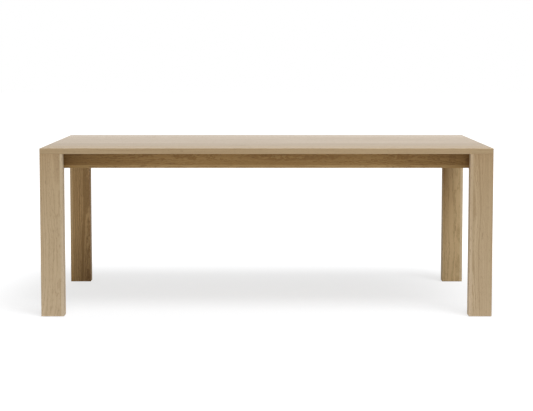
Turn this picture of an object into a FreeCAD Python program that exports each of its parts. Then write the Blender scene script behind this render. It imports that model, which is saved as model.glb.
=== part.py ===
import FreeCAD, Part
import math
import os
import re

import Sketcher

# Parsons dining table: a flat glued-up top over four box legs at its very corners, with aprons set
# back between the legs. Millimetres. X runs along the table, the front faces -Y and Z is up. The
# origin lies on the floor under the middle of the top. The table is alike on both sides of its two
# middle planes, so most pieces are modelled once, in the back right quarter, and mirrored.

SIZES = [
    ("top_length", 2032, "tabletop, along the table"),
    ("top_width", 914, "tabletop, across the table"),
    ("table_height", 762, "floor to the upper face of the top"),
    ("top_thickness", 25.4, "tabletop"),
    ("top_boards", 6, "boards glued edge to edge in the top"),
    ("arris", 1, "chamfer that eases each edge a hand can reach"),
    ("leg_width", 103, "leg, along the table"),
    ("leg_depth", 50, "leg, across the table"),
    ("leg_board", 13, "thickness of the four boards of a box leg"),
    ("leg_core_length", 110, "solid block in the top of a box leg"),
    ("foot_plug_length", 40, "solid plug in the foot of a box leg"),
    ("apron_height", 66, "apron with its edge strip"),
    ("apron_thickness", 13, "apron and its edge strip"),
    ("edge_strip_height", 14, "strip glued under the apron"),
    ("block_lap", 47, "corner block's lap on the long apron, past the leg"),
    ("block_depth", 40, "corner block, across the table"),
    ("block_height", 50, "corner block"),
    ("bolt_diameter", 8, "leg bolt shank"),
    ("bolt_clearance", 0.5, "gap round a bolt in its hole"),
    ("bolt_head_flats", 13, "leg bolt head, across its flats"),
    ("bolt_head_height", 5.3, "leg bolt head"),
    ("bolt_tip_margin", 3, "how far a bolt stops short of its insert's end"),
    ("bolt_edge", 11, "outer bolt, from the end apron's inner face"),
    ("bolt_depth", 16, "outer bolt, below the top"),
    ("bolt_drop", 20, "inner bolt, below the outer one"),
    ("washer_diameter", 16, "leg bolt washer"),
    ("washer_thickness", 1.6, "leg bolt washer"),
    ("insert_diameter", 12, "threaded insert in the leg core"),
    ("insert_length", 18, "threaded insert in the leg core"),
    ("insert_wall", 4, "wood between the inner insert and the core's end"),
    ("dowel_diameter", 6, "dowel between apron and leg"),
    ("dowel_in_leg", 12, "length of a dowel that sits in the leg"),
    ("dowel_in_apron", 18, "length of a dowel that sits in the apron"),
    ("dowel_edge", 13, "dowel from the upper or lower edge of the apron's face board"),
    ("screw_diameter", 4, "wood screw shank"),
    ("screw_head_diameter", 8, "wood screw head"),
    ("screw_head_height", 2.8, "wood screw head"),
    ("screw_head_top", 5.6, "flat on top of a screw head, across"),
    ("screw_head_rim", 1.1, "upright rim of a screw head"),
    ("cross_reach", 2.2, "driver's cross in a screw head, from its middle to the end of an arm"),
    ("cross_width", 1, "arm of the driver's cross"),
    ("cross_depth", 1.6, "driver's cross, below the top of the head"),
    ("screw_tip", 3, "tapered end of a wood screw"),
    ("screw_clearance", 0.5, "gap round a screw or its head in a clearance hole"),
    ("block_screw_recess", 19, "depth of the screw heads in the side of a corner block"),
    ("block_screw_bite", 9, "length of a corner block's screw in the apron"),
    ("block_screw_edge", 14, "corner block's screws, from its free end"),
    ("block_screw_pitch", 23, "corner block's two screws, one above the other"),
    ("top_screw_recess", 10, "depth of the top screw's head in a corner block"),
    ("top_screw_bite", 15, "length of a corner block's top screw in the top"),
    ("top_screw_edge", 34, "corner block's top screw, from its free end"),
    ("batten_width", 50, "cross batten, along the table"),
    ("batten_thickness", 20, "cross batten"),
    ("batten_gap", 5, "gap between a batten's end and the apron"),
    ("batten_place", 400, "middle of a batten, from the middle of the table"),
    ("batten_screw_near", 130, "inner batten screw, from the middle of the table"),
    ("batten_screw_far", 330, "outer batten screw, from the middle of the table"),
    ("batten_screw_bite", 12, "length of a batten screw in the top"),
    ("batten_slot_length", 12, "slot that lets the top move over a batten"),
    ("bracket_leg", 28, "each leg of an angle bracket"),
    ("bracket_width", 20, "angle bracket"),
    ("bracket_thickness", 2, "angle bracket"),
    ("bracket_bend", 1, "inner radius of an angle bracket's bend"),
    ("bracket_hole", 17, "hole or slot, from the bracket's outer corner"),
    ("bracket_slot_length", 9, "slot that lets the top move over a bracket"),
    ("bracket_screw_bite", 10, "length of a bracket screw in the wood"),
    ("bracket_near", 130, "inner bracket on a long apron, from the middle of the table"),
    ("bracket_far", 660, "outer bracket on a long apron, from the middle of the table"),
    ("bracket_end", 180, "bracket on an end apron, from the middle of the table"),
    ("glide_diameter", 28, "nail-on glide"),
    ("glide_thickness", 2, "nail-on glide, under the leg"),
    ("glide_edge", 0.8, "rounded-off rim of a glide"),
    ("nail_diameter", 2.4, "glide nail"),
    ("nail_length", 16, "glide nail in the foot plug"),
    ("nail_tip", 3, "pointed end of a glide nail"),
]

# Places, each written with the sizes above. Along and across are counted out from the middle of
# the table, and heights from the floor.
HALF_LENGTH = "(top_length / 2)"
HALF_WIDTH = "(top_width / 2)"
UNDER_TOP = "(table_height - top_thickness)"
APRON_BOTTOM = f"({UNDER_TOP} - apron_height)"
FACE_BOTTOM = f"({APRON_BOTTOM} + edge_strip_height)"
FOOT = "glide_thickness"
LEG_INNER_END = f"({HALF_LENGTH} - leg_width)"
LEG_INNER_SIDE = f"({HALF_WIDTH} - leg_depth)"
# An apron lies flush with the inner side of the legs, which sets it back from their outer faces.
# An end apron is set back by as much as a long one.
LONG_APRON = LEG_INNER_SIDE
END_APRON = f"({HALF_LENGTH} - leg_depth)"
HOLLOW_ALONG = (f"({LEG_INNER_END} + leg_board)", f"({HALF_LENGTH} - leg_board)")
HOLLOW_ACROSS = (f"({LEG_INNER_SIDE} + leg_board)", f"({HALF_WIDTH} - leg_board)")
BLOCK_END = f"({LEG_INNER_END} - block_lap)"
BLOCK_SIDE = f"({LONG_APRON} - block_depth)"
BLOCK_BOTTOM = f"({UNDER_TOP} - block_height)"
BLOCK_MIDDLE = f"({UNDER_TOP} - block_height / 2)"
BOLT_HOLE = "bolt_diameter + 2 * bolt_clearance"
SCREW_HOLE = "screw_diameter + 2 * screw_clearance"

UP = FreeCAD.Rotation()
ACROSS = FreeCAD.Rotation(FreeCAD.Vector(1, 0, 0), -90)
ALONG = FreeCAD.Rotation(FreeCAD.Vector(0, 1, 0), 90)
OVER_LENGTH = FreeCAD.Vector(1, 0, 0)
OVER_WIDTH = FreeCAD.Vector(0, 1, 0)
SIDE_TOLERANCE = 0.001
# Part of a step by which the ring of starting corners is turned, so that none lies on an axis.
RING_PHASE = 0.4

doc = FreeCAD.newDocument("parsons_table")
nodes = []


def tied(place):
    """The expression for a place: each size's name, led by the sheet's name."""
    return re.sub(r"[a-z][a-z_]*", lambda name: f"Sizes.{name.group()}", place)


def fill_sheet():
    sheet = doc.addObject("Spreadsheet::Sheet", "Sizes")
    for row, (alias, value, meaning) in enumerate(SIZES, start=1):
        sheet.set(f"A{row}", meaning)
        sheet.set(f"B{row}", str(value))
        sheet.setAlias(f"B{row}", alias)
    doc.recompute()
    return sheet


def keep(piece, label):
    """Make the piece a node of its own."""
    piece.Label = label
    nodes.append(piece)
    return piece


def move_to(piece, x, y, z, turn=UP):
    piece.Placement = FreeCAD.Placement(FreeCAD.Vector(), turn)
    for axis, place in (("x", x), ("y", y), ("z", z)):
        if place != "0":
            piece.setExpression(f"Placement.Base.{axis}", tied(place))


def pin_corner(sketch, line, kind, place, axis):
    """Hold one coordinate of a line's first end: on the axis where it is 0, else tied to sizes."""
    if place == "0":
        sketch.addConstraint(Sketcher.Constraint("PointOnObject", line, 1, axis))
        return
    start = sketch.Geometry[line].StartPoint
    now = start.x if kind == "DistanceX" else start.y
    index = sketch.addConstraint(Sketcher.Constraint(kind, -1, 1, line, 1, now))
    sketch.setExpression(f"Constraints[{index}]", tied(place))


def outline(body, role, corners, suffix="outline"):
    """A closed outline on one of the body's origin planes, its corners tied to sizes."""
    plane = next(part for part in body.Origin.OriginFeatures if part.Role == role)
    sketch = body.newObject("Sketcher::SketchObject", f"{body.Name}_{suffix}")
    sketch.AttachmentSupport = [(plane, "")]
    sketch.MapMode = "FlatFace"
    count = len(corners)
    # The corners start on a ring, in order, and the constraints carry them to their places.
    turns = [2 * math.pi * (step + RING_PHASE) / count for step in range(count)]
    ring = [FreeCAD.Vector(math.cos(turn), math.sin(turn), 0) for turn in turns]
    for line in range(count):
        sketch.addGeometry(Part.LineSegment(ring[line], ring[(line + 1) % count]))
    for line in range(count):
        sketch.addConstraint(Sketcher.Constraint("Coincident", line, 2, (line + 1) % count, 1))
    for line, (first, second) in enumerate(corners):
        pin_corner(sketch, line, "DistanceX", first, -2)
        pin_corner(sketch, line, "DistanceY", second, -1)
    return sketch


def padded(name, role, corners, height):
    """A body made by padding an outline."""
    body = doc.addObject("PartDesign::Body", name)
    sketch = outline(body, role, corners)
    pad = body.newObject("PartDesign::Pad", f"{name}_pad")
    pad.Profile = sketch
    pad.setExpression("Length", tied(height))
    return body, pad


def turned(name, corners):
    """A body turned about its own Z axis: each corner is a radius and a height."""
    body = doc.addObject("PartDesign::Body", name)
    sketch = outline(body, "XZ_Plane", corners)
    revolution = body.newObject("PartDesign::Revolution", f"{name}_turn")
    revolution.Profile = sketch
    revolution.ReferenceAxis = (sketch, ["V_Axis"])
    revolution.Angle = 360
    return body


def lies_on(edge, box, side):
    """Whether the edge lies on that side, such as XMax, of the box."""
    return abs(getattr(edge.CenterOfMass, side[0].lower()) - getattr(box, side)) < SIDE_TOLERANCE


def plank(name, along, across, up, eased=()):
    """A board between two places each way. Eased pairs of sides name the edges to chamfer."""
    length = f"({along[1]} - {along[0]})"
    width = f"({across[1]} - {across[0]})"
    corners = [("0", "0"), (length, "0"), (length, width), ("0", width)]
    body, pad = padded(name, "XY_Plane", corners, f"({up[1]} - {up[0]})")
    if eased:
        doc.recompute()
        edges = [
            f"Edge{number}"
            for number, edge in enumerate(pad.Shape.Edges, start=1)
            if any(all(lies_on(edge, pad.Shape.BoundBox, side) for side in pair) for pair in eased)
        ]
        chamfer = body.newObject("PartDesign::Chamfer", f"{name}_arris")
        chamfer.Base = (pad, edges)
        chamfer.setExpression("Size", tied("arris"))
    move_to(body, along[0], across[0], up[0])
    return body


def rod(name, diameter, length, x, y, z, turn):
    """A plain cylinder, used as a dowel or as a drill."""
    cylinder = doc.addObject("Part::Cylinder", name)
    cylinder.setExpression("Radius", tied(f"({diameter}) / 2"))
    cylinder.setExpression("Height", tied(length))
    move_to(cylinder, x, y, z, turn)
    return cylinder


def group(name, pieces):
    compound = doc.addObject("Part::Compound", name)
    compound.Links = pieces
    return compound


def cut(name, base, tools):
    result = doc.addObject("Part::Cut", name)
    result.Base = base
    result.Tool = group(f"{name}_tools", tools)
    return result


def fused(name, pieces):
    result = doc.addObject("Part::MultiFuse", name)
    result.Shapes = pieces
    return result


def mirrored(name, source, normal):
    mirror = doc.addObject("Part::Mirroring", name)
    mirror.Source = source
    mirror.Normal = normal
    return mirror


def in_corners(prefix, suffix, piece):
    """Four nodes from the back right piece: itself and its images in the other corners."""
    front = mirrored(f"{piece.Name}_front", piece, OVER_WIDTH)
    for side, right in (("back", piece), ("front", front)):
        keep(right, f"{prefix}_{side}_right{suffix}")
        left = mirrored(f"{right.Name}_left", right, OVER_LENGTH)
        keep(left, f"{prefix}_{side}_left{suffix}")


def opposite(piece, labels, normal):
    """Two nodes: the piece and its image on the other side of the table."""
    keep(piece, labels[0])
    keep(mirrored(f"{piece.Name}_opposite", piece, normal), labels[1])


def all_round(label, pieces):
    """One node of separate solids: the pieces of the back right quarter and all their images."""
    quarter = group(f"{label}_quarter", pieces)
    half = group(f"{label}_half", [quarter, mirrored(f"{label}_left", quarter, OVER_LENGTH)])
    return keep(group(label, [half, mirrored(f"{label}_front", half, OVER_WIDTH)]), label)


def screw(name, length, x, y, z, turn):
    """A wood screw: its head's seat lies at the given place, and its shank points the turned way."""
    head, shank = "screw_head_diameter / 2", "screw_diameter / 2"
    corners = [
        ("0", "-screw_head_height"),
        ("screw_head_top / 2", "-screw_head_height"),
        (head, "-screw_head_rim"),
        (head, "0"),
        (shank, "0"),
        (shank, f"{length} - screw_tip"),
        ("0", length),
    ]
    body = turned(name, corners)
    sink_cross(body)
    move_to(body, x, y, z, turn)
    return body


def sink_cross(body):
    """Sink the cross that a driver fits in the top of a screw's head."""
    reach, edge = "cross_reach", "cross_width / 2"
    right = [(f"-{edge}", f"-{reach}"), (edge, f"-{reach}"), (edge, f"-{edge}"), (reach, f"-{edge}")]
    upper = [(reach, edge), (edge, edge), (edge, reach), (f"-{edge}", reach)]
    left = [(f"-{edge}", edge), (f"-{reach}", edge), (f"-{reach}", f"-{edge}"), (f"-{edge}", f"-{edge}")]
    sketch = outline(body, "XY_Plane", upper + left + right, "cross")
    sketch.setExpression("AttachmentOffset.Base.z", tied("-screw_head_height"))
    pocket = body.newObject("PartDesign::Pocket", f"{body.Name}_recess")
    pocket.Profile = sketch
    pocket.Reversed = True
    pocket.setExpression("Length", tied("cross_depth"))


def screw_drills(name, place, recess, depth):
    """A clearance hole with a wider mouth that hides a screw's head."""
    mouth = "screw_head_diameter + 2 * screw_clearance"
    return [
        rod(f"{name}_mouth", mouth, recess, *place),
        rod(f"{name}_hole", SCREW_HOLE, depth, *place),
    ]


def slot(name, length, width, height, x, y, z):
    """A drill for an upright slot that runs across the table."""
    reach = f"(({length}) - ({width})) / 2"
    ends = [
        rod(f"{name}_{word}", width, height, x, f"{y} {sign} {reach}", z, UP)
        for word, sign in (("outer", "+"), ("inner", "-"))
    ]
    middle = doc.addObject("Part::Box", f"{name}_middle")
    middle.setExpression("Length", tied(width))
    middle.setExpression("Width", tied(f"2 * {reach}"))
    middle.setExpression("Height", tied(height))
    move_to(middle, f"{x} - ({width}) / 2", f"{y} - {reach}", z)
    return fused(name, ends + [middle])


def bolt_places():
    """Along and up, for the outer bolt of a leg and the inner one, nearer the leg's inner end."""
    outer_x = f"({END_APRON} - bolt_edge)"
    inner_x = f"({HOLLOW_ALONG[0]} + insert_wall + insert_diameter / 2)"
    z = f"({UNDER_TOP} - bolt_depth)"
    return [("outer", outer_x, z), ("inner", inner_x, f"({z} - bolt_drop)")]


def make_bolts():
    """Bolts with their washers, and the inserts that they screw into."""
    bolts, washers, inserts = [], [], []
    seat = f"({BLOCK_SIDE} - washer_thickness)"
    core_face = HOLLOW_ACROSS[0]
    tip = f"({core_face} + insert_length - bolt_tip_margin)"
    for word, x, z in bolt_places():
        shank = rod(f"bolt_{word}_shank", "bolt_diameter", f"{tip} - {seat}", x, seat, z, ACROSS)
        head = doc.addObject("Part::Prism", f"bolt_{word}_head")
        head.Polygon = 6
        # A hexagon's corners lie further out than its flats by the cosine of 30 degrees.
        head.setExpression("Circumradius", f"{tied('bolt_head_flats')} / 2 / cos(30 deg)")
        head.setExpression("Height", tied("bolt_head_height"))
        move_to(head, x, f"{seat} - bolt_head_height", z, ACROSS)
        bolts.append(fused(f"bolt_{word}", [shank, head]))

        washer_place = (x, seat, z, ACROSS)
        disc = rod(f"washer_{word}_disc", "washer_diameter", "washer_thickness", *washer_place)
        bore = rod(f"washer_{word}_bore", BOLT_HOLE, "washer_thickness", *washer_place)
        washers.append(cut(f"washer_{word}", disc, [bore]))

        insert_place = (x, core_face, z, ACROSS)
        sleeve = rod(f"insert_{word}_sleeve", "insert_diameter", "insert_length", *insert_place)
        thread = rod(f"insert_{word}_thread", "bolt_diameter", "insert_length", *insert_place)
        inserts.append(cut(f"insert_{word}", sleeve, [thread]))
    all_round("leg_bolts", bolts)
    all_round("leg_bolt_washers", washers)
    all_round("leg_inserts", inserts)


def bolt_drills(name):
    """Clearance holes for a leg's bolts, from the corner block's side to the leg core."""
    length = f"{HOLLOW_ACROSS[0]} - {BLOCK_SIDE}"
    return [
        rod(f"{name}_{word}_drill", BOLT_HOLE, length, x, BLOCK_SIDE, z, ACROSS)
        for word, x, z in bolt_places()
    ]


def make_dowels():
    """The dowels of one leg: two into the long apron's end and two into the end apron's."""
    length = "dowel_in_apron + dowel_in_leg"
    heights = [
        ("upper", f"({UNDER_TOP} - dowel_edge)"),
        ("lower", f"({FACE_BOTTOM} + dowel_edge)"),
    ]
    dowels = []
    for word, z in heights:
        start = f"({LEG_INNER_END} - dowel_in_apron)"
        middle = f"({LONG_APRON} + apron_thickness / 2)"
        dowels.append(rod(f"dowel_long_{word}", "dowel_diameter", length, start, middle, z, ALONG))
        start = f"({LEG_INNER_SIDE} - dowel_in_apron)"
        middle = f"({END_APRON} + apron_thickness / 2)"
        dowels.append(rod(f"dowel_end_{word}", "dowel_diameter", length, middle, start, z, ACROSS))
    return dowels, all_round("apron_dowels", dowels)


def make_glides():
    """A plastic puck with rounded rim, moulded round its nail."""
    radius, nail = "glide_diameter / 2", "nail_diameter / 2"
    corners = [
        ("0", "0"),
        (f"{radius} - glide_edge", "0"),
        (radius, "glide_edge"),
        (radius, "glide_thickness"),
        (nail, "glide_thickness"),
        (nail, "glide_thickness + nail_length - nail_tip"),
        ("0", "glide_thickness + nail_length"),
    ]
    glide = turned("glide", corners)
    move_to(glide, f"{HALF_LENGTH} - leg_width / 2", f"{HALF_WIDTH} - leg_depth / 2", "0")
    in_corners("glide", "", glide)
    return glide


def make_legs(dowels, glide):
    """Each board of a box leg covers the edge of the next, so one edge shows on every face."""
    height = (FOOT, UNDER_TOP)
    feet = [(side, "ZMin") for side in ("XMin", "XMax", "YMin", "YMax")]
    outer_wide = plank(
        "leg_outer_wide",
        (HOLLOW_ALONG[0], HALF_LENGTH),
        (HOLLOW_ACROSS[1], HALF_WIDTH),
        height,
        [("XMax", "YMax"), ("YMax", "ZMax"), ("XMax", "ZMax"), feet[1], feet[3]],
    )
    outer_narrow = plank(
        "leg_outer_narrow",
        (HOLLOW_ALONG[1], HALF_LENGTH),
        (LEG_INNER_SIDE, HOLLOW_ACROSS[1]),
        height,
        [("XMax", "YMin"), ("XMax", "ZMax"), feet[1], feet[2]],
    )
    inner_wide = plank(
        "leg_inner_wide_blank",
        (LEG_INNER_END, HOLLOW_ALONG[1]),
        (LEG_INNER_SIDE, HOLLOW_ACROSS[0]),
        height,
        [("XMin", "YMin"), feet[0], feet[2]],
    )
    inner_narrow = plank(
        "leg_inner_narrow",
        (LEG_INNER_END, HOLLOW_ALONG[0]),
        (HOLLOW_ACROSS[0], HALF_WIDTH),
        height,
        [("XMin", "YMax"), ("YMax", "ZMax"), feet[0], feet[3]],
    )
    inner_wide = cut("leg_inner_wide", inner_wide, bolt_drills("leg_board") + dowels)
    in_corners("leg", "_outer_wide_board", outer_wide)
    in_corners("leg", "_outer_narrow_board", outer_narrow)
    in_corners("leg", "_inner_wide_board", inner_wide)
    in_corners("leg", "_inner_narrow_board", inner_narrow)

    core_height = (f"({UNDER_TOP} - leg_core_length)", UNDER_TOP)
    core = plank("leg_core_blank", HOLLOW_ALONG, HOLLOW_ACROSS, core_height)
    seats = [
        rod(f"insert_{word}_seat", "insert_diameter", "insert_length", x, HOLLOW_ACROSS[0], z, ACROSS)
        for word, x, z in bolt_places()
    ]
    in_corners("leg", "_core", cut("leg_core", core, seats + dowels))
    plug_height = (FOOT, f"({FOOT} + foot_plug_length)")
    plug = plank("leg_plug_blank", HOLLOW_ALONG, HOLLOW_ACROSS, plug_height)
    in_corners("leg", "_foot_plug", cut("leg_plug", plug, [glide]))


def make_corner_blocks():
    """A block behind each leg, screwed to the long apron and up into the top."""
    side_screws = []
    drills = bolt_drills("block")
    recess, depth = "block_screw_recess", "block_depth"
    x = f"({BLOCK_END} + block_screw_edge)"
    seat = f"({BLOCK_SIDE} + block_screw_recess)"
    length = "(block_depth - block_screw_recess + block_screw_bite)"
    for word, sign in (("upper", "+"), ("lower", "-")):
        z = f"({BLOCK_MIDDLE} {sign} block_screw_pitch / 2)"
        side_screws.append(screw(f"block_screw_{word}", length, x, seat, z, ACROSS))
        drills += screw_drills(f"block_{word}", (x, BLOCK_SIDE, z, ACROSS), recess, depth)
    block_screws = all_round("corner_block_screws", side_screws)

    x = f"({BLOCK_END} + top_screw_edge)"
    y = f"({BLOCK_SIDE} + block_depth / 2)"
    seat = f"({BLOCK_BOTTOM} + top_screw_recess)"
    length = "(block_height - top_screw_recess + top_screw_bite)"
    top_screw = screw("corner_top_screw", length, x, y, seat, UP)
    top_screws = all_round("corner_top_screws", [top_screw])
    recess, depth = "top_screw_recess", "block_height"
    drills += screw_drills("block_top", (x, y, BLOCK_BOTTOM, UP), recess, depth)

    block = plank(
        "corner_block_blank",
        (BLOCK_END, END_APRON),
        (BLOCK_SIDE, LONG_APRON),
        (BLOCK_BOTTOM, UNDER_TOP),
        [("XMin", "YMin"), ("YMin", "ZMin"), ("XMin", "ZMin")],
    )
    in_corners("corner_block", "", cut("corner_block", block, drills))
    return block_screws, top_screws


def round_bend(body, name, radius, inset):
    """Round the edge of a bracket's bend that lies this far in from both outer faces."""
    doc.recompute()
    edges = []
    for number, edge in enumerate(body.Tip.Shape.Edges, start=1):
        middle = edge.CenterOfMass
        if max(abs(middle.y + inset), abs(middle.z + inset)) < SIDE_TOLERANCE:
            edges.append(f"Edge{number}")
    fillet = body.newObject("PartDesign::Fillet", name)
    fillet.Base = (fillet.BaseFeature, edges)
    fillet.setExpression("Radius", tied(radius))


def bent_plate(name):
    """An angle bracket with its outer corner at the origin, under the top and inside an apron."""
    corners = [
        ("0", "0"),
        ("0", "-bracket_leg"),
        ("-bracket_thickness", "-bracket_leg"),
        ("-bracket_thickness", "-bracket_thickness"),
        ("-bracket_leg", "-bracket_thickness"),
        ("-bracket_leg", "0"),
    ]
    body = padded(name, "YZ_Plane", corners, "bracket_width")[0]
    round_bend(body, f"{name}_outer_bend", "bracket_bend + bracket_thickness", 0)
    round_bend(body, f"{name}_inner_bend", "bracket_bend", sheet.bracket_thickness)
    return body


def long_bracket(name, x):
    """A bracket on the long apron, with its screws."""
    plate = bent_plate(f"{name}_plate")
    move_to(plate, f"{x} - bracket_width / 2", LONG_APRON, UNDER_TOP)
    seat = (x, f"({LONG_APRON} - bracket_thickness)", f"({UNDER_TOP} - bracket_hole)")
    return drilled_bracket(name, plate, seat, ACROSS, (x, f"({LONG_APRON} - bracket_hole)"))


def end_bracket(name, y):
    """A bracket on the end apron, with its screws."""
    plate = bent_plate(f"{name}_plate")
    quarter_turn = FreeCAD.Rotation(FreeCAD.Vector(0, 0, 1), -90)
    move_to(plate, END_APRON, f"{y} + bracket_width / 2", UNDER_TOP, quarter_turn)
    seat = (f"({END_APRON} - bracket_thickness)", y, f"({UNDER_TOP} - bracket_hole)")
    return drilled_bracket(name, plate, seat, ALONG, (f"({END_APRON} - bracket_hole)", y))


def drilled_bracket(name, plate, seat, turn, slot_place):
    """The bracket with its hole and slot, and the screws into the apron and the top."""
    thickness = "bracket_thickness"
    length = f"{thickness} + bracket_screw_bite"
    under = f"({UNDER_TOP} - {thickness})"
    drills = [
        rod(f"{name}_hole", SCREW_HOLE, thickness, *seat, turn),
        slot(f"{name}_slot", "bracket_slot_length", SCREW_HOLE, thickness, *slot_place, under),
    ]
    screws = [
        screw(f"{name}_apron_screw", length, *seat, turn),
        screw(f"{name}_top_screw", length, *slot_place, under, UP),
    ]
    return cut(name, plate, drills), screws


def make_brackets():
    made = [
        long_bracket("near_bracket", "bracket_near"),
        long_bracket("far_bracket", "bracket_far"),
        end_bracket("end_bracket", "bracket_end"),
    ]
    all_round("top_brackets", [piece for piece, _ in made])
    return all_round("bracket_screws", [screw for _, screws in made for screw in screws])


def make_battens():
    """Battens across the underside of the top, screwed through slots."""
    thickness = "batten_thickness"
    bottom = f"({UNDER_TOP} - {thickness})"
    end = f"({LONG_APRON} - batten_gap)"
    length = f"({thickness} + batten_screw_bite)"
    slots, screws = [], []
    for word in ("near", "far"):
        place = ("batten_place", f"batten_screw_{word}", bottom)
        slots.append(slot(f"batten_{word}", "batten_slot_length", SCREW_HOLE, thickness, *place))
        screws.append(screw(f"batten_{word}_screw", length, *place, UP))
    back_slots = group("batten_back_slots", slots)
    blank = plank(
        "batten_blank",
        ("(batten_place - batten_width / 2)", "(batten_place + batten_width / 2)"),
        (f"(-{end})", end),
        (bottom, UNDER_TOP),
    )
    batten = cut("batten", blank, [back_slots, mirrored("batten_front_slots", back_slots, OVER_WIDTH)])
    opposite(batten, ("cross_batten_right", "cross_batten_left"), OVER_LENGTH)
    return all_round("batten_screws", screws)


def make_aprons(tools):
    """Two long aprons and two end aprons, each with a strip glued under its lower edge."""
    between_ends = (f"(-{LEG_INNER_END})", LEG_INNER_END)
    between_sides = (f"(-{LEG_INNER_SIDE})", LEG_INNER_SIDE)
    long_board = (LONG_APRON, f"({LONG_APRON} + apron_thickness)")
    end_board = (END_APRON, f"({END_APRON} + apron_thickness)")
    make_apron_pair(("apron_back", "apron_front"), between_ends, long_board, "Y", tools)
    make_apron_pair(("apron_right", "apron_left"), end_board, between_sides, "X", tools)


def make_apron_pair(labels, along, across, facing, tools):
    """An apron, its edge strip, and their images opposite."""
    normal = OVER_LENGTH if facing == "X" else OVER_WIDTH
    face = plank(f"{labels[0]}_blank", along, across, (FACE_BOTTOM, UNDER_TOP))
    opposite(cut(f"{labels[0]}_face", face, tools), labels, normal)
    eased = [(f"{facing}Min", "ZMin"), (f"{facing}Max", "ZMin")]
    strip = plank(f"{labels[0]}_strip", along, across, (APRON_BOTTOM, FACE_BOTTOM), eased)
    opposite(strip, [f"{label}_edge_strip" for label in labels], normal)


def make_top(tools):
    """Boards glued edge to edge, from the front of the table to the back."""
    count = int(sheet.top_boards)
    along = (f"(-{HALF_LENGTH})", HALF_LENGTH)
    for number in range(count):
        eased = [(end, face) for end in ("XMin", "XMax") for face in ("ZMin", "ZMax")]
        for board, side in ((0, "YMin"), (count - 1, "YMax")):
            if number == board:
                eased += [(side, other) for other in ("ZMin", "ZMax", "XMin", "XMax")]
        front = f"(top_width * {number} / top_boards - top_width / 2)"
        back = f"(top_width * {number + 1} / top_boards - top_width / 2)"
        name = f"top_board_{number + 1}"
        blank = plank(f"{name}_blank", along, (front, back), (UNDER_TOP, "table_height"), eased)
        keep(cut(name, blank, tools), f"tabletop_board_{number + 1}")


def check_all():
    for piece in doc.Objects:
        if {"Invalid", "Error"} & set(piece.State):
            raise RuntimeError(f"{piece.Name} failed: {piece.State}")
    for node in nodes:
        if node.Shape.isNull() or not node.Shape.isValid():
            raise RuntimeError(f"{node.Label} has no valid shape")


def write_all():
    os.makedirs("parts", exist_ok=True)
    for node in nodes:
        node.Shape.exportStep(f"parts/{node.Label}.step")
        print(f"{node.Label}: {len(node.Shape.Solids)} solids, {node.Shape.Volume / 1000:.2f} cm3")


sheet = fill_sheet()
dowels, all_dowels = make_dowels()
make_bolts()
make_legs(dowels, make_glides())
block_screws, top_screws = make_corner_blocks()
bracket_screws = make_brackets()
batten_screws = make_battens()
make_aprons([all_dowels, block_screws, bracket_screws])
make_top([top_screws, bracket_screws, batten_screws])
doc.recompute()
check_all()
write_all()
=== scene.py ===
"""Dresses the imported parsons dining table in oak, and lights it in a plain white studio."""

import math
import random

import bpy
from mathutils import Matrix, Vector


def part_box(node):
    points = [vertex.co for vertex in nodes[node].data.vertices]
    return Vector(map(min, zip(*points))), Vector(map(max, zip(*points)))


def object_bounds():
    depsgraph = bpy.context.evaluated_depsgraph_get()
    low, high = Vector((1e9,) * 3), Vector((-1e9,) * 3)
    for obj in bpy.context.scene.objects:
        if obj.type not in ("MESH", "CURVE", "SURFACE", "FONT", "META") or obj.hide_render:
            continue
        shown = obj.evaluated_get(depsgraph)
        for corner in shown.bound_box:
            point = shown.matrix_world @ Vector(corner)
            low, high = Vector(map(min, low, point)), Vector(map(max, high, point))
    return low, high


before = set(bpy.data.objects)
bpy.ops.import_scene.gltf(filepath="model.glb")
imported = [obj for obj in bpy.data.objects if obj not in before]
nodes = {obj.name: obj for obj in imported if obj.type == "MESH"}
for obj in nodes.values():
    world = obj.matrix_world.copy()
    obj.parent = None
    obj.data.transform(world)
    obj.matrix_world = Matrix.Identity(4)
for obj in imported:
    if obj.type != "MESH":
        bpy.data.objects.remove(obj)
cad_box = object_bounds()


# ---------------------------------------------------------------- colours
def srgb(red, green, blue):
    """A colour given as 0 to 255 on screen, as the linear colour that a shader takes."""
    def linear(value):
        value /= 255
        return value / 12.92 if value <= 0.04045 else ((value + 0.055) / 1.055) ** 2.4
    return (linear(red), linear(green), linear(blue), 1.0)


def grey(level):
    """A linear grey, from black at 0 to white at 1."""
    return (level, level, level, 1.0)


def shade(colour, factor):
    """A colour made lighter or darker."""
    return tuple(min(1.0, part * factor) for part in colour[:3]) + (1.0,)


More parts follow.
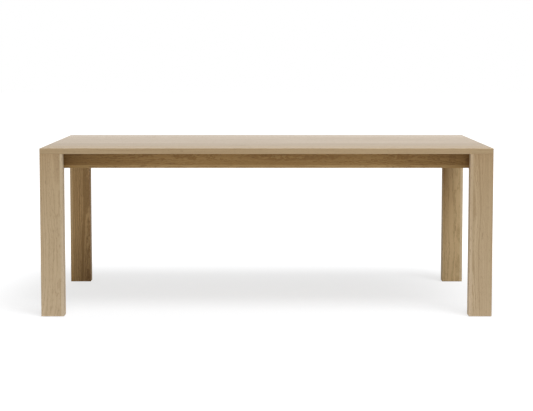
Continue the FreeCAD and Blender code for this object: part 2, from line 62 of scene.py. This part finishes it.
# ---------------------------------------------------------------- node helpers
class Tree:
    """A node tree that is written as a chain of short calls."""

    def __init__(self, tree):
        self.tree = tree

    def node(self, kind, inputs=None, **settings):
        """A new node. Its inputs, by name or number, are fed with sockets or plain values."""
        made = self.tree.nodes.new(kind)
        for name, value in settings.items():
            setattr(made, name, value)
        for key, value in (inputs or {}).items():
            self.feed(made.inputs[key], value)
        return made

    def feed(self, socket, value):
        if isinstance(value, bpy.types.NodeSocket):
            self.tree.links.new(value, socket)
        else:
            socket.default_value = value

    def math(self, operation, *values, clamp=False):
        settings = dict(operation=operation, use_clamp=clamp)
        return self.node("ShaderNodeMath", dict(enumerate(values)), **settings).outputs[0]

    def vector_math(self, operation, *vectors, output="Vector"):
        made = self.node("ShaderNodeVectorMath", dict(enumerate(vectors)), operation=operation)
        return made.outputs[output]

    def length(self, vector):
        return self.vector_math("LENGTH", vector, output="Value")

    def split(self, vector):
        """The X, Y and Z of a vector, by name."""
        return self.node("ShaderNodeSeparateXYZ", {"Vector": vector}).outputs

    def noise(self, vector, scale, detail=2.0, roughness=0.5, output="Fac"):
        """Noise whose features are 1 / scale long on each axis, with scale given for all three."""
        return self.node("ShaderNodeTexNoise", {
            "Vector": self.vector_math("MULTIPLY", vector, scale), "Scale": 1.0,
            "Detail": detail, "Roughness": roughness,
        }).outputs[output]

    def smooth_step(self, value, low, high, start=0.0, end=1.0):
        return self.node("ShaderNodeMapRange", {
            "Value": value, "From Min": low, "From Max": high, "To Min": start, "To Max": end,
        }, interpolation_type="SMOOTHSTEP").outputs["Result"]

    def mix_colour(self, factor, first, second, blend="MIX"):
        """Inputs 6 and 7 are the two colours, and output 2 is the mixed one."""
        colours = {"Factor": factor, 6: first, 7: second}
        return self.node("ShaderNodeMix", colours, data_type="RGBA", blend_type=blend).outputs[2]

    def mix_shader(self, factor, first, second):
        return self.node("ShaderNodeMixShader", {0: factor, 1: first, 2: second}).outputs[0]

    def bump(self, height, depth, strength):
        relief = {"Height": height, "Distance": depth, "Strength": strength}
        return self.node("ShaderNodeBump", relief).outputs[0]


def empty_tree(owner):
    """The node tree of a new material or world, with nothing in it."""
    owner.use_nodes = True
    owner.node_tree.nodes.clear()
    return Tree(owner.node_tree)


def new_material(name, gloss=0.5):
    """A new material, its tree, and its shader, already joined to the output."""
    material = bpy.data.materials.new(name)
    tree = empty_tree(material)
    shader = tree.node("ShaderNodeBsdfPrincipled", {"Specular IOR Level": gloss})
    tree.node("ShaderNodeOutputMaterial", {"Surface": shader.outputs[0]})
    return material, tree, shader


def dress(name, material):
    """Puts a material on every slot of a CAD node."""
    node = nodes[name]
    if not node.material_slots:
        node.data.materials.append(material)
    for material_slot in node.material_slots:
        material_slot.material = material


# ---------------------------------------------------------------- how wood grows
# Noise in the wood: its features per metre, along the fibres and across them.
HEART_WANDER = dict(along=1.3, across=5.0, detail=1.0)
RING_WAVES = dict(along=9.0, across=42.0)
RING_RIPPLE = dict(along=48.0, across=110.0)
VESSELS = dict(along=75.0, across=1500.0, detail=1.0)
SPECKS = dict(along=26.0, across=120.0)
FIBRES = dict(along=5.0, across=480.0, detail=3.0, roughness=0.62)
STREAKS = dict(along=1.6, across=85.0, roughness=0.55)
CLOUDS = dict(along=1.1, across=9.0)

# How far the first three of them move a ring.
WANDER_REACH, WAVE_REACH, RIPPLE_REACH = 0.045, 0.0055, 0.0045

# Rings are wider in some stretches than in others, by a noise along them.
SPELL_PACE = 0.35             # its features per ring
SPELL_SHIFT = 2.4             # how many rings it moves them by

# From the inside of a ring, at 0, to its outside, at 1: the early wood fades over the first of these, and
# that of the next ring starts over the second.
EARLY_FADES = (0.05, 0.60)
EARLY_STARTS = (0.86, 1.0)

# Noise between these levels is the edge of a vessel, or of a speck.
VESSEL_EDGE = (0.56, 0.70)
SPECK_EDGE = (0.66, 0.76)
LATE_VESSELS = 0.18           # how strongly vessels show in the late wood, where 1 is the early wood

# How far each of them takes the wood from its light tone, at 0, to its dark tone, at 1.
BASE_TONE, FIBRE_TONE, STREAK_TONE, CLOUD_TONE = 0.22, 0.55, 0.75, 0.60
SPECK_TONE, VESSEL_TONE = 0.42, 0.62          # and from there to the tone of its pores

VESSEL_ROUGHNESS, STREAK_ROUGHNESS = 0.25, 0.10
FIBRE_HEIGHT = 0.35           # as a share of a vessel's depth


def wood_group():
    """Solid wood, cut from a log: rings about a heart line, pores, fibres and slow changes of tone.

    Board is a place in the board, in metres, with X along the fibres. Heart is where the middle of the
    log lies from the middle of the board, across the fibres, and Lean is how fast it drifts away."""
    group = bpy.data.node_groups.new("solid_wood", "ShaderNodeTree")
    sockets = {
        "INPUT": {"Vector": ("Board", "Seed", "Heart"), "Color": ("Light", "Dark", "Pore Tone"),
                  "Float": ("Lean", "Ring Spacing", "Figure", "Satin", "Ripple")},
        "OUTPUT": {"Color": ("Colour",), "Float": ("Roughness", "Height")},
    }
    for direction, kinds in sockets.items():
        for kind, names in kinds.items():
            for name in names:
                group.interface.new_socket(name, in_out=direction, socket_type="NodeSocket" + kind)
    tree = Tree(group)
    given = tree.node("NodeGroupInput").outputs
    place = tree.vector_math("ADD", given["Board"], given["Seed"])

    def grain(along, across, **more):
        return tree.noise(place, (along, across, across), **more)

    def centred(value, amount):
        return tree.math("MULTIPLY", tree.math("SUBTRACT", value, 0.5), amount)

    # The log isn't straight: its heart wanders slowly, and each ring waves and ripples a little.
    def wander(kind, reach):
        push = tree.vector_math("SUBTRACT", grain(**kind, output="Color"), (0.5, 0.5, 0.5))
        return tree.split(tree.vector_math("MULTIPLY", push, (0.0, reach, reach)))

    slow = wander(HEART_WANDER, WANDER_REACH)
    quick = wander(RING_WAVES, WAVE_REACH)
    ripple = wander(RING_RIPPLE, RIPPLE_REACH)
    axes = tree.split(given["Board"])
    heart = tree.split(given["Heart"])

    def from_heart(axis):
        wavy = tree.math("ADD", axes[axis], tree.math("ADD", slow[axis], quick[axis]))
        wavy = tree.math("ADD", wavy, tree.math("MULTIPLY", ripple[axis], given["Ripple"]))
        return tree.math("SUBTRACT", wavy, heart[axis])

    drift = tree.math("MULTIPLY", axes["X"], given["Lean"])
    across = from_heart("Y")
    through = tree.math("ADD", from_heart("Z"), drift)
    squares = [tree.math("MULTIPLY", side, side) for side in (across, through)]
    distance = tree.math("SQRT", tree.math("ADD", *squares))

    years = tree.math("DIVIDE", distance, given["Ring Spacing"])
    spell = tree.node("ShaderNodeTexNoise", {
        "W": tree.math("MULTIPLY", years, SPELL_PACE), "Scale": 1.0, "Detail": 1.0,
    }, noise_dimensions="1D").outputs["Fac"]
    years = tree.math("ADD", years, tree.math("MULTIPLY", spell, SPELL_SHIFT))
    season = tree.math("FRACT", years)
    fading = tree.math("SUBTRACT", 1.0, tree.smooth_step(season, *EARLY_FADES))
    early = tree.math("MAXIMUM", fading, tree.smooth_step(season, *EARLY_STARTS))

    # Vessels are open along a face as short dark strokes, close together in the early wood.
    vessels = tree.smooth_step(grain(**VESSELS), *VESSEL_EDGE)
    crowding = tree.smooth_step(early, 0.0, 1.0, start=LATE_VESSELS, end=1.0)
    pores = tree.math("MULTIPLY", vessels, crowding)

    fibres, streaks, clouds = grain(**FIBRES), grain(**STREAKS), grain(**CLOUDS)
    depth = tree.math("MULTIPLY", early, given["Figure"])
    for value, amount in ((fibres, FIBRE_TONE), (streaks, STREAK_TONE), (clouds, CLOUD_TONE)):
        depth = tree.math("ADD", depth, centred(value, amount))
    depth = tree.math("ADD", depth, BASE_TONE, clamp=True)
    colour = tree.mix_colour(depth, given["Light"], given["Dark"])
    specks = tree.smooth_step(grain(**SPECKS), *SPECK_EDGE)
    for marks, amount in ((specks, SPECK_TONE), (pores, VESSEL_TONE)):
        colour = tree.mix_colour(tree.math("MULTIPLY", marks, amount), colour, given["Pore Tone"])

    rough = tree.math("ADD", given["Satin"], tree.math("MULTIPLY", pores, VESSEL_ROUGHNESS))
    rough = tree.math("ADD", rough, centred(streaks, STREAK_ROUGHNESS))
    height = tree.math("SUBTRACT", centred(fibres, FIBRE_HEIGHT), pores)
    tree.node("NodeGroupOutput", {"Colour": colour, "Roughness": rough, "Height": height})
    return group


# ---------------------------------------------------------------- one board
WOOD = wood_group()
FIBRES_FIRST = {"X": ("X", "Y", "Z"), "Y": ("Y", "X", "Z"), "Z": ("Z", "X", "Y")}
SLOW_GROWN = 0.0023           # metres from ring to ring
HEART_OFF_FACE = (0.07, 0.14)  # the least and the most metres from a board's middle to the heart
HEART_OFF_SIDE = 0.6          # the most sideways, as a share of the board's size
SEED_RANGE = 20.0
LEAN_RANGE = (0.008, 0.022)   # how far the heart drifts away, per metre
GRAIN_DEPTH, GRAIN_STRENGTH = 0.00012, 0.6
WOOD_GLOSS = 0.3

PATCH_FADE = 0.5              # the power of the distance that a patch fades with
EVEN = (0.0, 100.0)           # the place and reach of a patch on an axis that it doesn't fade along


def patch(tint, **places):
    """Painted shade or light: a tint that a board's colour is multiplied by, in full at one place, and
    fading from there.

    places gives, for each axis that it fades along, where it is full and how far it reaches, in metres."""
    middle, reach = zip(*(places.get(axis, EVEN) for axis in "XYZ"))
    return (*tint, 1.0), middle, reach


def wood(name, along, tones, pore, figure=0.3, flat_sawn=None, off_heart=HEART_OFF_FACE,
         satin=0.50, rings=SLOW_GROWN, ripple=0.0, painted_patches=()):
    """The wood of one board, with a grain of its own. Its fibres run along the given axis.

    tones are its light and dark colour, figure is how strongly its rings show, and satin is how rough it
    is. flat_sawn is the axis that the log's heart lies off the board on. None draws one at random."""
    draw = random.Random(name)
    low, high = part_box(name)
    size = dict(zip("XYZ", high - low))
    centre = dict(zip("XYZ", (low + high) / 2))
    order = FIBRES_FIRST[along]
    face_axis = flat_sawn or draw.choice(order[1:])
    heart = [0.0, 0.0, 0.0]
    for number, axis in enumerate(order[1:], start=1):
        if axis == face_axis:
            heart[number] = draw.choice((-1, 1)) * draw.uniform(*off_heart)
        else:
            heart[number] = draw.uniform(-HEART_OFF_SIDE, HEART_OFF_SIDE) * size[axis]
    seed = [draw.uniform(-SEED_RANGE, SEED_RANGE) for _ in range(3)]
    lean = draw.choice((-1, 1)) * draw.uniform(*LEAN_RANGE)

    material, tree, shader = new_material("wood_" + name, WOOD_GLOSS)
    place = tree.node("ShaderNodeTexCoord").outputs["Object"]
    parts = tree.split(place)
    offsets = [tree.math("SUBTRACT", parts[axis], centre[axis]) for axis in order]
    board = tree.node("ShaderNodeCombineXYZ", dict(zip("XYZ", offsets))).outputs[0]
    light, dark = tones
    grown = tree.node("ShaderNodeGroup", node_tree=WOOD)
    for socket, value in {
        "Board": board, "Seed": seed, "Heart": heart, "Lean": lean, "Ring Spacing": rings,
        "Figure": figure, "Ripple": ripple, "Light": light, "Dark": dark, "Pore Tone": pore,
        "Satin": satin,
    }.items():
        tree.feed(grown.inputs[socket], value)
    colour = grown.outputs["Colour"]
    # Patches of painted shade and light, multiplied into the colour.
    for tint, middle, reach in painted_patches:
        offset = tree.vector_math("SUBTRACT", place, middle)
        offset = tree.vector_math("MULTIPLY", offset, [1 / way for way in reach])
        share = tree.math("MINIMUM", tree.length(offset), 1.0)
        strength = tree.math("SUBTRACT", 1.0, tree.math("POWER", share, PATCH_FADE))
        colour = tree.mix_colour(strength, colour, tint, blend="MULTIPLY")
    tree.feed(shader.inputs["Base Color"], colour)
    tree.feed(shader.inputs["Roughness"], grown.outputs["Roughness"])
    relief = tree.bump(grown.outputs["Height"], GRAIN_DEPTH, GRAIN_STRENGTH)
    tree.feed(shader.inputs["Normal"], relief)
    return material


# ---------------------------------------------------------------- the table's boards
# The light and the dark tone of each kind of board.
TOP_FRONT = (srgb(188, 164, 128), srgb(166, 140, 104))
# The boards behind the front one: paler and less saturated, as painted sheen on the top.
TOP_REST_SHEEN_PALED = (srgb(189, 168, 140), srgb(167, 145, 116))
OUTER = (srgb(188, 166, 133), srgb(166, 142, 108))
# Inner boards: darker, warmer and more saturated than the outer ones, as painted shade under the table.
# The rear right leg's are paler instead, as painted light from the right.
INNER_SHADED_DEEP = (srgb(196, 163, 114), srgb(163, 129, 82))
INNER_SHADED_WARM = (srgb(206, 169, 117), srgb(168, 132, 83))
INNER_LIT_PALE = (srgb(207, 179, 135), srgb(178, 149, 104))
EDGE_PALE = (srgb(196, 177, 148), srgb(176, 155, 123))
EDGE_PLAIN = (srgb(191, 169, 139), srgb(171, 148, 116))
# The rear legs' outer edges: lighter than the front legs' edges to offset the shade they stand in, and the
# left one warmer, as painted light and shade.
EDGE_SHADED_WARM = (srgb(224, 191, 145), srgb(202, 170, 121))
EDGE_LIT_FAIR = (srgb(219, 197, 161), srgb(197, 174, 136))
# The aprons and their strips: darker and more saturated than the legs, as painted shade under the top.
APRON = (srgb(165, 131, 79), srgb(140, 105, 56))
STRIP = (srgb(178, 146, 97), srgb(155, 122, 75))
BLOCK = (srgb(214, 196, 160), srgb(188, 164, 124))
BEECH = (srgb(214, 184, 146), srgb(190, 154, 114))

OAK_PORE = srgb(122, 98, 68)
# Darker pores for the inner boards, with their painted shade.
INNER_SHADED_PORE = srgb(108, 82, 48)
# Darker pores for the aprons, with their painted shade.
APRON_SHADED_PORE = srgb(98, 70, 38)
BLOCK_PORE = srgb(150, 126, 90)

# All four legs have the same foot and head.
board_low, board_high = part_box("leg_back_left_inner_wide_board")
FOOT, HEAD = board_low.z, board_high.z
REAR_LEG_FRONT = board_low.y
INNER_SIDE = -board_high.x    # from the middle of the table

# Painted shade under the top: darker towards the head of a leg.
HEAD_PAINTED_SHADE = patch((0.88, 0.82, 0.74), Z=(HEAD, 0.30))
# Painted light from the floor: paler and cooler towards the foot of a leg.
FOOT_PAINTED_BOUNCE_LIGHT = patch((1.05, 1.09, 1.18), Z=(FOOT, 0.50))
# Painted shade under the table: the rear left leg's inner board, darkest at its foot by its inner edge.
LOW_INNER_PAINTED_SHADE = patch((0.40, 0.33, 0.22), X=(-INNER_SIDE, 0.15), Z=(0.0, 0.34))
# Painted shade under the top: the rear right leg's inner board, darkest high up by its inner edge.
HIGH_INNER_PAINTED_SHADE = patch((0.38, 0.22, 0.02), X=(INNER_SIDE, 0.086), Z=(0.58, 0.44))
# Painted shade on the front edge of the rear left leg, darkest at its foot.
FRONT_EDGE_PAINTED_SHADE = patch((0.67, 0.52, 0.25), Y=(REAR_LEG_FRONT, 0.02), Z=(0.0, 0.30))
# Painted light on the inner side of the front right leg.
INNER_SIDE_PAINTED_LIGHT = patch((1.18, 1.19, 1.20), X=(INNER_SIDE, 0.012))
# Painted shade at the ends of the aprons and their strips, by the legs, and how far it reaches.
APRON_END_PAINTED_SHADE = (0.45, 0.36, 0.12)
STRIP_END_PAINTED_SHADE = (0.62, 0.55, 0.36)
APRON_END_SHADE_REACH = 0.45

# The tabletop's boards from the front to the back: tones, how light they are, how strongly the rings show,
# and how rough they are. Their lightness differs from board to board, and its rise towards the back is
# painted sheen.
TOP_BOARDS = (
    (TOP_FRONT, 0.93, 0.65, 0.40), (TOP_REST_SHEEN_PALED, 0.86, 0.45, 0.40), (TOP_REST_SHEEN_PALED, 0.95, 0.45, 0.35),
    (TOP_REST_SHEEN_PALED, 0.94, 0.45, 0.35), (TOP_REST_SHEEN_PALED, 0.98, 0.45, 0.34), (TOP_REST_SHEEN_PALED, 1.06, 0.45, 0.29),
)
TOP_CUT = dict(pore=OAK_PORE, flat_sawn="Z", ripple=0.2)

# The boards of each leg: tones, how strongly the rings show, and the patches of painted shade and light on
# them.
LEG_BOARDS = {
    "leg_front_left": {
        "outer_wide": (OUTER, 0.40, [HEAD_PAINTED_SHADE, FOOT_PAINTED_BOUNCE_LIGHT]),
        "inner_wide": (INNER_SHADED_DEEP, 0.55, []),
        "outer_narrow": (EDGE_PALE, 0.35, [FOOT_PAINTED_BOUNCE_LIGHT]),
        "inner_narrow": (EDGE_PALE, 0.35, [FOOT_PAINTED_BOUNCE_LIGHT]),
    },
    "leg_front_right": {
        "outer_wide": (OUTER, 0.75, [HEAD_PAINTED_SHADE, FOOT_PAINTED_BOUNCE_LIGHT]),
        "inner_wide": (INNER_SHADED_DEEP, 0.55, []),
        "outer_narrow": (EDGE_PALE, 0.35, [FOOT_PAINTED_BOUNCE_LIGHT]),
        "inner_narrow": (EDGE_PLAIN, 0.35, [FOOT_PAINTED_BOUNCE_LIGHT, INNER_SIDE_PAINTED_LIGHT]),
    },
    "leg_back_left": {
        "outer_wide": (OUTER, 0.50, [HEAD_PAINTED_SHADE, FOOT_PAINTED_BOUNCE_LIGHT]),
        "inner_wide": (INNER_SHADED_WARM, 0.90, [LOW_INNER_PAINTED_SHADE]),
        "outer_narrow": (EDGE_SHADED_WARM, 0.35, [FRONT_EDGE_PAINTED_SHADE]),
        "inner_narrow": (INNER_SHADED_DEEP, 0.35, []),
    },
    "leg_back_right": {
        "outer_wide": (OUTER, 0.50, [HEAD_PAINTED_SHADE, FOOT_PAINTED_BOUNCE_LIGHT]),
        "inner_wide": (INNER_LIT_PALE, 0.52, [HIGH_INNER_PAINTED_SHADE]),
        "outer_narrow": (EDGE_LIT_FAIR, 0.35, []),
        "inner_narrow": (INNER_LIT_PALE, 0.35, []),
    },
}

# How each kind of board in a leg is cut and finished.
LEG_CUTS = {
    "outer_wide": dict(pore=OAK_PORE, flat_sawn="Y", rings=0.0034, ripple=0.6),
    "inner_wide": dict(pore=INNER_SHADED_PORE, flat_sawn="Y", rings=0.0042, ripple=0.7),
    "outer_narrow": dict(pore=OAK_PORE, flat_sawn="X", satin=0.75),
    "inner_narrow": dict(pore=OAK_PORE, flat_sawn="X", satin=0.75),
}

# The axis that each side's apron runs along, and the one that it faces.
APRON_AXES = {"front": ("X", "Y"), "back": ("X", "Y"), "left": ("Y", "X"), "right": ("Y", "X")}

# An apron's face board and the strip under it: the painted shade at their ends, by the legs, and how they
# are cut and finished.
APRON_BOARDS = {
    "apron_{}": (APRON_END_PAINTED_SHADE, dict(
        tones=APRON, pore=APRON_SHADED_PORE, figure=0.75, off_heart=(0.03, 0.05), rings=0.0034, ripple=1.2)),
    "apron_{}_edge_strip": (STRIP_END_PAINTED_SHADE, dict(tones=STRIP, pore=APRON_SHADED_PORE, figure=0.4)),
}
CORNERS = [f"{side}_{end}" for side in ("front", "back") for end in ("left", "right")]


def dress_top():
    for number, (tones, lightness, figure, satin) in enumerate(TOP_BOARDS, start=1):
        name = f"tabletop_board_{number}"
        shaded = [shade(colour, lightness) for colour in tones]
        dress(name, wood(name, "X", shaded, figure=figure, satin=satin, **TOP_CUT))


def dress_legs():
    for leg, boards in LEG_BOARDS.items():
        for kind, (tones, figure, painted_patches) in boards.items():
            name = f"{leg}_{kind}_board"
            dress(name, wood(name, "Z", tones, figure=figure, painted_patches=painted_patches, **LEG_CUTS[kind]))


def dress_aprons():
    for side, (along, facing) in APRON_AXES.items():
        ends = [corner["XYZ".index(along)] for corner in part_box(f"apron_{side}")]
        for pattern, (tint, cut) in APRON_BOARDS.items():
            name = pattern.format(side)
            painted_patches = [patch(tint, **{along: (end, APRON_END_SHADE_REACH)}) for end in ends]
            dress(name, wood(name, along, flat_sawn=facing, painted_patches=painted_patches, **cut))


def dress_blocks():
    """The sawn pieces that hold the frame together, and the axis that the fibres of each run along."""
    blocks = {f"leg_{corner}_{part}": "Z" for corner in CORNERS for part in ("core", "foot_plug")}
    blocks |= {f"corner_block_{corner}": "X" for corner in CORNERS}
    blocks |= {f"cross_batten_{end}": "Y" for end in ("left", "right")}
    for name, along in blocks.items():
        dress(name, wood(name, along, BLOCK, BLOCK_PORE))
    dress("apron_dowels", wood("apron_dowels", "X", BEECH, pore=BEECH[1], figure=0.2))


# ---------------------------------------------------------------- metal and plastic
# Features per metre on each axis.
PLATING_CLOUDS = (90.0, 90.0, 90.0)
DRAWN_LINES = (260.0, 1900.0, 1900.0)
MOULD_GRAIN = (1400.0, 1400.0, 1400.0)
PLASTIC_CLOUDS = (60.0, 60.0, 60.0)

CLOUD_ROUGHNESS = 0.16        # from the shiniest plating to the dullest


def metal(name, light, dark, roughness):
    """Plated metal: cloudy plating with fine drawn lines."""
    material, tree, shader = new_material(name)
    place = tree.node("ShaderNodeTexCoord").outputs["Object"]
    clouds = tree.noise(place, PLATING_CLOUDS, detail=3.0, roughness=0.6)
    lines = tree.noise(place, DRAWN_LINES)
    clouded = tree.math("MULTIPLY", clouds, CLOUD_ROUGHNESS)
    tree.feed(shader.inputs["Base Color"], tree.mix_colour(clouds, dark, light))
    tree.feed(shader.inputs["Roughness"], tree.math("ADD", roughness - CLOUD_ROUGHNESS / 2, clouded))
    tree.feed(shader.inputs["Normal"], tree.bump(lines, depth=0.00003, strength=0.5))
    shader.inputs["Metallic"].default_value = 1.0
    return material


def glide_plastic():
    """Moulded nylon, with the fine spark-eroded texture of its mould."""
    material, tree, shader = new_material("glide_plastic")
    place = tree.node("ShaderNodeTexCoord").outputs["Object"]
    grain = tree.noise(place, MOULD_GRAIN)
    clouds = tree.noise(place, PLASTIC_CLOUDS)
    tree.feed(shader.inputs["Base Color"], tree.mix_colour(clouds, srgb(66, 60, 54), srgb(84, 77, 69)))
    tree.feed(shader.inputs["Roughness"], tree.smooth_step(grain, 0.2, 0.8, start=0.42, end=0.62))
    tree.feed(shader.inputs["Normal"], tree.bump(grain, depth=0.00006, strength=0.6))
    return material


def dress_fittings():
    zinc = metal("zinc_steel", srgb(206, 208, 210), srgb(176, 180, 186), roughness=0.36)
    brass = metal("insert_brass", srgb(222, 190, 120), srgb(196, 160, 92), roughness=0.34)
    plastic = glide_plastic()
    for name in ("leg_bolts", "leg_bolt_washers", "corner_block_screws", "corner_top_screws",
                 "top_brackets", "bracket_screws", "batten_screws"):
        dress(name, zinc)
    dress("leg_inserts", brass)
    for corner in CORNERS:
        dress(f"glide_{corner}", plastic)


# ---------------------------------------------------------------- floor and world
FLOOR_SIZE = 60.0

# The share of the light that the floor throws back, and the distances over which that changes. It is a
# painted pool of light in front of the table and painted shadow under it.
NEAR_BOUNCE = 0.95            # near the middle of a painted pool of light in front of the table
FAR_BOUNCE = 0.38             # far from it
UNDER_PAINTED_SHADOW_BOUNCE = 0.30           # under the table, as painted shadow
PAINTED_POOL_MIDDLE = (0.0, -1.3, 0.0)
PAINTED_POOL_FADE = (1.1, 2.6)
UNDER_MIDDLE = 0.15           # behind the middle of the table
UNDER_FADE_ALONG = (0.80, 1.15)
UNDER_FADE_ACROSS = (0.30, 0.65)

# Seen directly near the table: how white the floor looks with no light on it, and what full light adds.
SHADOW_LEVEL = 0.683
SHADOW_DEPTH = (0.332, 0.337, 0.346, 1.0)

# Its glow rises to pure white over these distances, from the middle of the table and straight back from
# there, painting out the table's shadow there.
SHADOW_FADE = (0.9, 2.4)
SHADOW_FADE_BEHIND = (0.25, 2.1)

# The dome of light changes between these heights on it, from its level low down to the one overhead.
DOME_FADE = (0.1, 0.9)
HORIZON_LEVEL = 0.72
ZENITH_LEVEL = 0.22


def seen_directly(tree):
    """1 for the rays that show the background: the camera's, and those off gloss and through glass."""
    path = tree.node("ShaderNodeLightPath").outputs
    gloss = tree.math("MAXIMUM", path["Is Glossy Ray"], path["Is Transmission Ray"])
    return tree.math("MAXIMUM", path["Is Camera Ray"], gloss)


def floor_bounce(tree, place):
    """What the floor is to the light: pale in front of the table as a painted pool of light, darker
    further off, and darker under the table as painted shadow.
    """
    axes = tree.split(place)
    along = tree.math("ABSOLUTE", axes["X"])
    across = tree.math("ABSOLUTE", tree.math("SUBTRACT", axes["Y"], UNDER_MIDDLE))
    under = tree.math("MULTIPLY", tree.smooth_step(along, *UNDER_FADE_ALONG, start=1.0, end=0.0),
                      tree.smooth_step(across, *UNDER_FADE_ACROSS, start=1.0, end=0.0))
    from_pool = tree.length(tree.vector_math("SUBTRACT", place, PAINTED_POOL_MIDDLE))
    open_floor = tree.smooth_step(from_pool, *PAINTED_POOL_FADE, start=NEAR_BOUNCE, end=FAR_BOUNCE)
    shaded = tree.math("MULTIPLY", under, tree.math("SUBTRACT", UNDER_PAINTED_SHADOW_BOUNCE, open_floor))
    bounce = tree.math("ADD", open_floor, shaded)
    return tree.node("ShaderNodeBsdfDiffuse", {"Color": bounce}).outputs[0]


def floor_paper(tree, place):
    """What the floor looks like: it glows white and keeps the table's light shadow, and its glow rises
    away from the table, painting the outer part of that shadow out.
    """
    around = tree.smooth_step(tree.length(place), *SHADOW_FADE)
    behind = tree.smooth_step(tree.split(place)["Y"], *SHADOW_FADE_BEHIND)
    share = tree.math("MAXIMUM", around, behind)
    level = tree.math("ADD", SHADOW_LEVEL, tree.math("MULTIPLY", share, 1.0 - SHADOW_LEVEL))
    shadow = tree.node("ShaderNodeBsdfDiffuse", {"Color": SHADOW_DEPTH}).outputs[0]
    glow = tree.node("ShaderNodeEmission", {"Color": grey(1.0), "Strength": level}).outputs[0]
    return tree.node("ShaderNodeAddShader", {0: shadow, 1: glow}).outputs[0]


def make_floor():
    """A pale floor. From below it isn't seen."""
    bpy.ops.mesh.primitive_plane_add(size=FLOOR_SIZE)
    floor = bpy.context.object
    floor.name = "studio_floor"
    material = bpy.data.materials.new("studio_floor")
    tree = empty_tree(material)
    place = tree.node("ShaderNodeTexCoord").outputs["Object"]
    look = tree.mix_shader(seen_directly(tree), floor_bounce(tree, place), floor_paper(tree, place))
    from_below = tree.node("ShaderNodeNewGeometry").outputs["Backfacing"]
    nothing = tree.node("ShaderNodeBsdfTransparent").outputs[0]
    one_sided = tree.mix_shader(from_below, look, nothing)
    tree.node("ShaderNodeOutputMaterial", {"Surface": one_sided})
    floor.data.materials.append(material)


def make_world():
    """White where it is seen. As a light it is a dome, brighter low down than overhead."""
    world = bpy.data.worlds.new("studio")
    bpy.context.scene.world = world
    tree = empty_tree(world)

    def background(strength):
        return tree.node("ShaderNodeBackground", {"Color": grey(1.0), "Strength": strength}).outputs[0]

    height = tree.split(tree.node("ShaderNodeTexCoord").outputs["Generated"])["Z"]
    dome = background(tree.smooth_step(height, *DOME_FADE, start=HORIZON_LEVEL, end=ZENITH_LEVEL))
    look = tree.mix_shader(seen_directly(tree), dome, background(1.0))
    tree.node("ShaderNodeOutputWorld", {"Surface": look})


# ---------------------------------------------------------------- lamps and camera
LAMP_AIM = Vector((0.0, 0.0, 0.45))
LAMP_DISTANCE = 12.0

TABLE_DEPTH = cad_box[1].y - cad_box[0].y
CAMERA_DISTANCE = 5.592       # from the front edge of the top
CAMERA_HEIGHT = 1.1927
CAMERA_PITCH = 4.0            # degrees below level
CAMERA_LENS = 84.73           # millimetres, and so is the sensor
SENSOR_WIDTH = 36.0
CAMERA_SHIFT = -0.1237        # of the frame's width
FARTHEST_SEEN = 200.0


def softbox(name, towards, spread, level):
    """A square lamp that faces the table from far off.

    Spread is its width as a share of its distance. Level is how bright a white card that faces it
    would look at the table, from it alone, where 1 is white."""
    lamp = bpy.data.lights.new(name, "AREA")
    lamp.shape = "SQUARE"
    lamp.size = spread * LAMP_DISTANCE
    lamp.energy = level * (math.pi * LAMP_DISTANCE) ** 2
    holder = bpy.data.objects.new(name, lamp)
    bpy.context.scene.collection.objects.link(holder)
    direction = Vector(towards).normalized()
    holder.location = LAMP_AIM + direction * LAMP_DISTANCE
    holder.rotation_euler = direction.to_track_quat("Z", "Y").to_euler()


def make_lamps():
    softbox("key", towards=(0.14, -0.40, 1.0), spread=0.46, level=0.565)
    softbox("side", towards=(0.55, -0.55, 1.0), spread=0.40, level=0.23)


def make_camera():
    """In front of the middle of the table and above its top, looking slightly down.

    A small shift brings the table to its place in the frame."""
    data = bpy.data.cameras.new("camera")
    data.lens, data.sensor_width = CAMERA_LENS, SENSOR_WIDTH
    data.shift_y = CAMERA_SHIFT
    data.clip_end = FARTHEST_SEEN
    camera = bpy.data.objects.new("camera", data)
    bpy.context.scene.collection.objects.link(camera)
    camera.location = (0.0, -TABLE_DEPTH / 2 - CAMERA_DISTANCE, CAMERA_HEIGHT)
    camera.rotation_euler = (math.radians(90.0 - CAMERA_PITCH), 0.0, 0.0)
    bpy.context.scene.camera = camera


dress_top()
dress_legs()
dress_aprons()
dress_blocks()
dress_fittings()
make_floor()
make_world()
make_lamps()
make_camera()
bpy.context.scene.view_settings.view_transform = "Standard"
